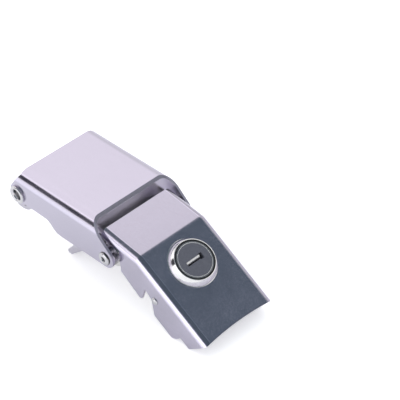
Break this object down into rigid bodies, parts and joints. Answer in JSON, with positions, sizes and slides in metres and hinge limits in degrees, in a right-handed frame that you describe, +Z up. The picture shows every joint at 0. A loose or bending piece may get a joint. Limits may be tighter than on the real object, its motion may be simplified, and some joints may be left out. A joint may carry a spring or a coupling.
{
  "type": "motorcycle top box lock",
  "caption": "Key-locked draw latch for a metal top box lid: folded steel housing with a sprung claw, a two-facet lever with a finger edge and cam lock, and a screw-on base bracket.",
  "frame": {"origin": "centre of the bounding box's base, on the surface the open latch stands on", "axes": "+X runs from the claw end of the housing to the lever's finger edge, +Y runs across to the far side, +Z is up, square to the housing's top plate"},
  "size_m": [0.1194, 0.0486, 0.0409],
  "materials": {
    "stainless_sheet": "bright rolled sheet",
    "stainless_rivet": "bright turned",
    "chrome_bezel": "polished chrome plate",
    "zinc_barrel": "satin plated zinc",
    "rubber_seal": "matt",
    "plug_face": "semi-gloss moulded cap",
    "plug_trim": "polished",
    "zinc_yellow_steel": "zinc plated",
    "spring_steel": "bright drawn wire",
    "wafer_brass": "stamped",
    "nylon_washer": "moulded"
  },
  "bodies": {
    "base": {"base_bracket": "stainless_sheet", "pivot_pin": "stainless_rivet", "pivot_washers": "nylon_washer"},
    "lever": {"lever_cover": "stainless_sheet", "lever_frame": "stainless_sheet", "cover_rivet_near": "stainless_rivet", "cover_rivet_far": "stainless_rivet", "lock_bezel": "chrome_bezel", "lock_seal": "rubber_seal", "lock_barrel": "zinc_barrel", "tooth_washer": "zinc_yellow_steel", "lock_nut": "zinc_yellow_steel"},
    "draw": {"housing": "stainless_sheet", "hook_axle": "stainless_rivet", "hinge_rivet_near": "stainless_rivet", "hinge_rivet_far": "stainless_rivet", "hinge_spacer_near": "stainless_rivet", "hinge_spacer_far": "stainless_rivet", "claw_spring": "spring_steel"},
    "claw": {"claw": "stainless_sheet"},
    "plug": {"lock_plug": "plug_face", "plug_ring": "plug_trim", "key_shutter": "plug_trim", "tumblers": "wafer_brass", "lock_cam": "zinc_yellow_steel", "cam_washer": "zinc_yellow_steel", "cam_screw": "zinc_yellow_steel"}
  },
  "joints": [
    {"name": "lever_pivot", "type": "hinge", "parent": "base", "child": "lever", "pos_m": [-0.00288, 0, 0.0291], "axis": [0, 1, 0], "range_deg": [-15, 100.1]},
    {"name": "draw_pivot", "type": "hinge", "parent": "lever", "child": "draw", "pos_m": [0.00376, 0, 0.0251], "axis": [0, 1, 0], "range_deg": [-20, 85]},
    {"name": "claw_swing", "type": "hinge", "parent": "draw", "child": "claw", "pos_m": [-0.05243, 0, 0.0291], "axis": [0, 1, 0], "range_deg": [-40, 25], "stiffness_Nm_per_rad": 0.03, "deforming": ["claw_spring"]},
    {"name": "plug_turn", "type": "hinge", "parent": "lever", "child": "plug", "pos_m": [0.03299, 0, 0.02511], "axis": [-0.5398, 0, -0.8418], "range_deg": [0, 90]}
  ]
}
